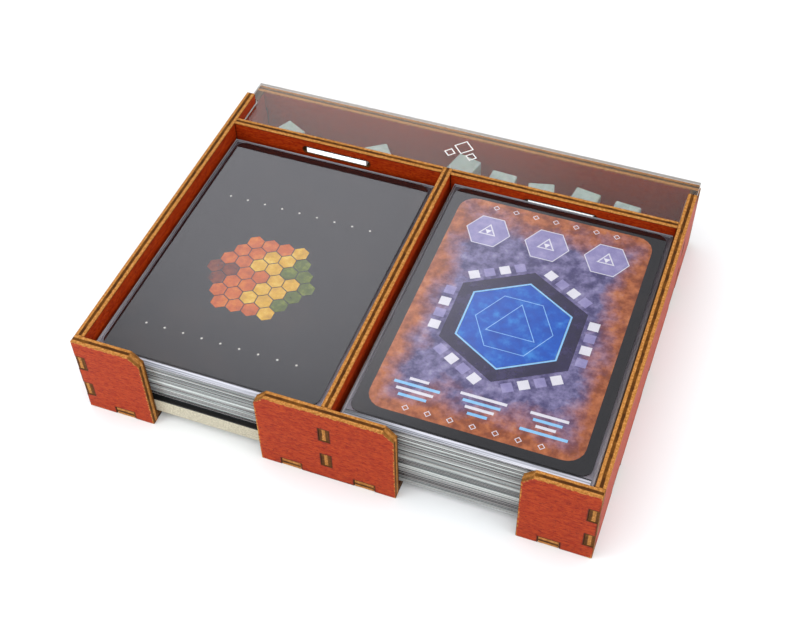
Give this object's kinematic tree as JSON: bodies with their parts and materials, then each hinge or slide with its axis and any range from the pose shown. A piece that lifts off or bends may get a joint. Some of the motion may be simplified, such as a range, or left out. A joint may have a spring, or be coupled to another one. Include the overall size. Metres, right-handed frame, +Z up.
{
  "type": "card storage box",
  "caption": "Shallow finger-jointed plywood card tray with side-by-side open bays holding sleeved decks, front thumb gaps and a rear token compartment under a clear slide-off lid.",
  "frame": {"origin": "middle of the underside", "axes": "+X to the right across both bays, +Y to the rear towards the token compartment, +Z up"},
  "size_m": [0.1448, 0.12, 0.0277],
  "materials": {
    "stained_plywood": "red stain, raw cut edges",
    "clear_acrylic": "clear, polished",
    "chipboard": "raw grey-cream board",
    "sleeved_cards": "stack of sleeve edges",
    "printed_card": "printed, coated",
    "clear_film": "clear film",
    "translucent_cubes": "translucent"
  },
  "bodies": {
    "tray": {"floor_panel": "stained_plywood", "left_wall": "stained_plywood", "right_wall": "stained_plywood", "rear_wall": "stained_plywood", "partition": "stained_plywood", "divider": "stained_plywood", "front_fence_left": "stained_plywood", "front_fence_centre": "stained_plywood", "front_fence_right": "stained_plywood", "token_cubes": "translucent_cubes"},
    "lid": {"clear_lid": "clear_acrylic"},
    "left_deck": {"left_base_boards": "chipboard", "left_card_stack": "sleeved_cards", "left_top_card": "printed_card", "left_top_sleeve": "clear_film"},
    "right_deck": {"right_card_stack": "sleeved_cards", "right_top_card": "printed_card", "right_top_sleeve": "clear_film"}
  },
  "joints": [
    {"name": "lid_slide", "type": "slide", "parent": "tray", "child": "lid", "axis": [0, 1, 0], "range_m": [0, 0.03]},
    {"name": "left_deck_lift", "type": "slide", "parent": "tray", "child": "left_deck", "axis": [0, 0, 1], "range_m": [0, 0.03]},
    {"name": "right_deck_lift", "type": "slide", "parent": "tray", "child": "right_deck", "axis": [0, 0, 1], "range_m": [0, 0.03]}
  ]
}
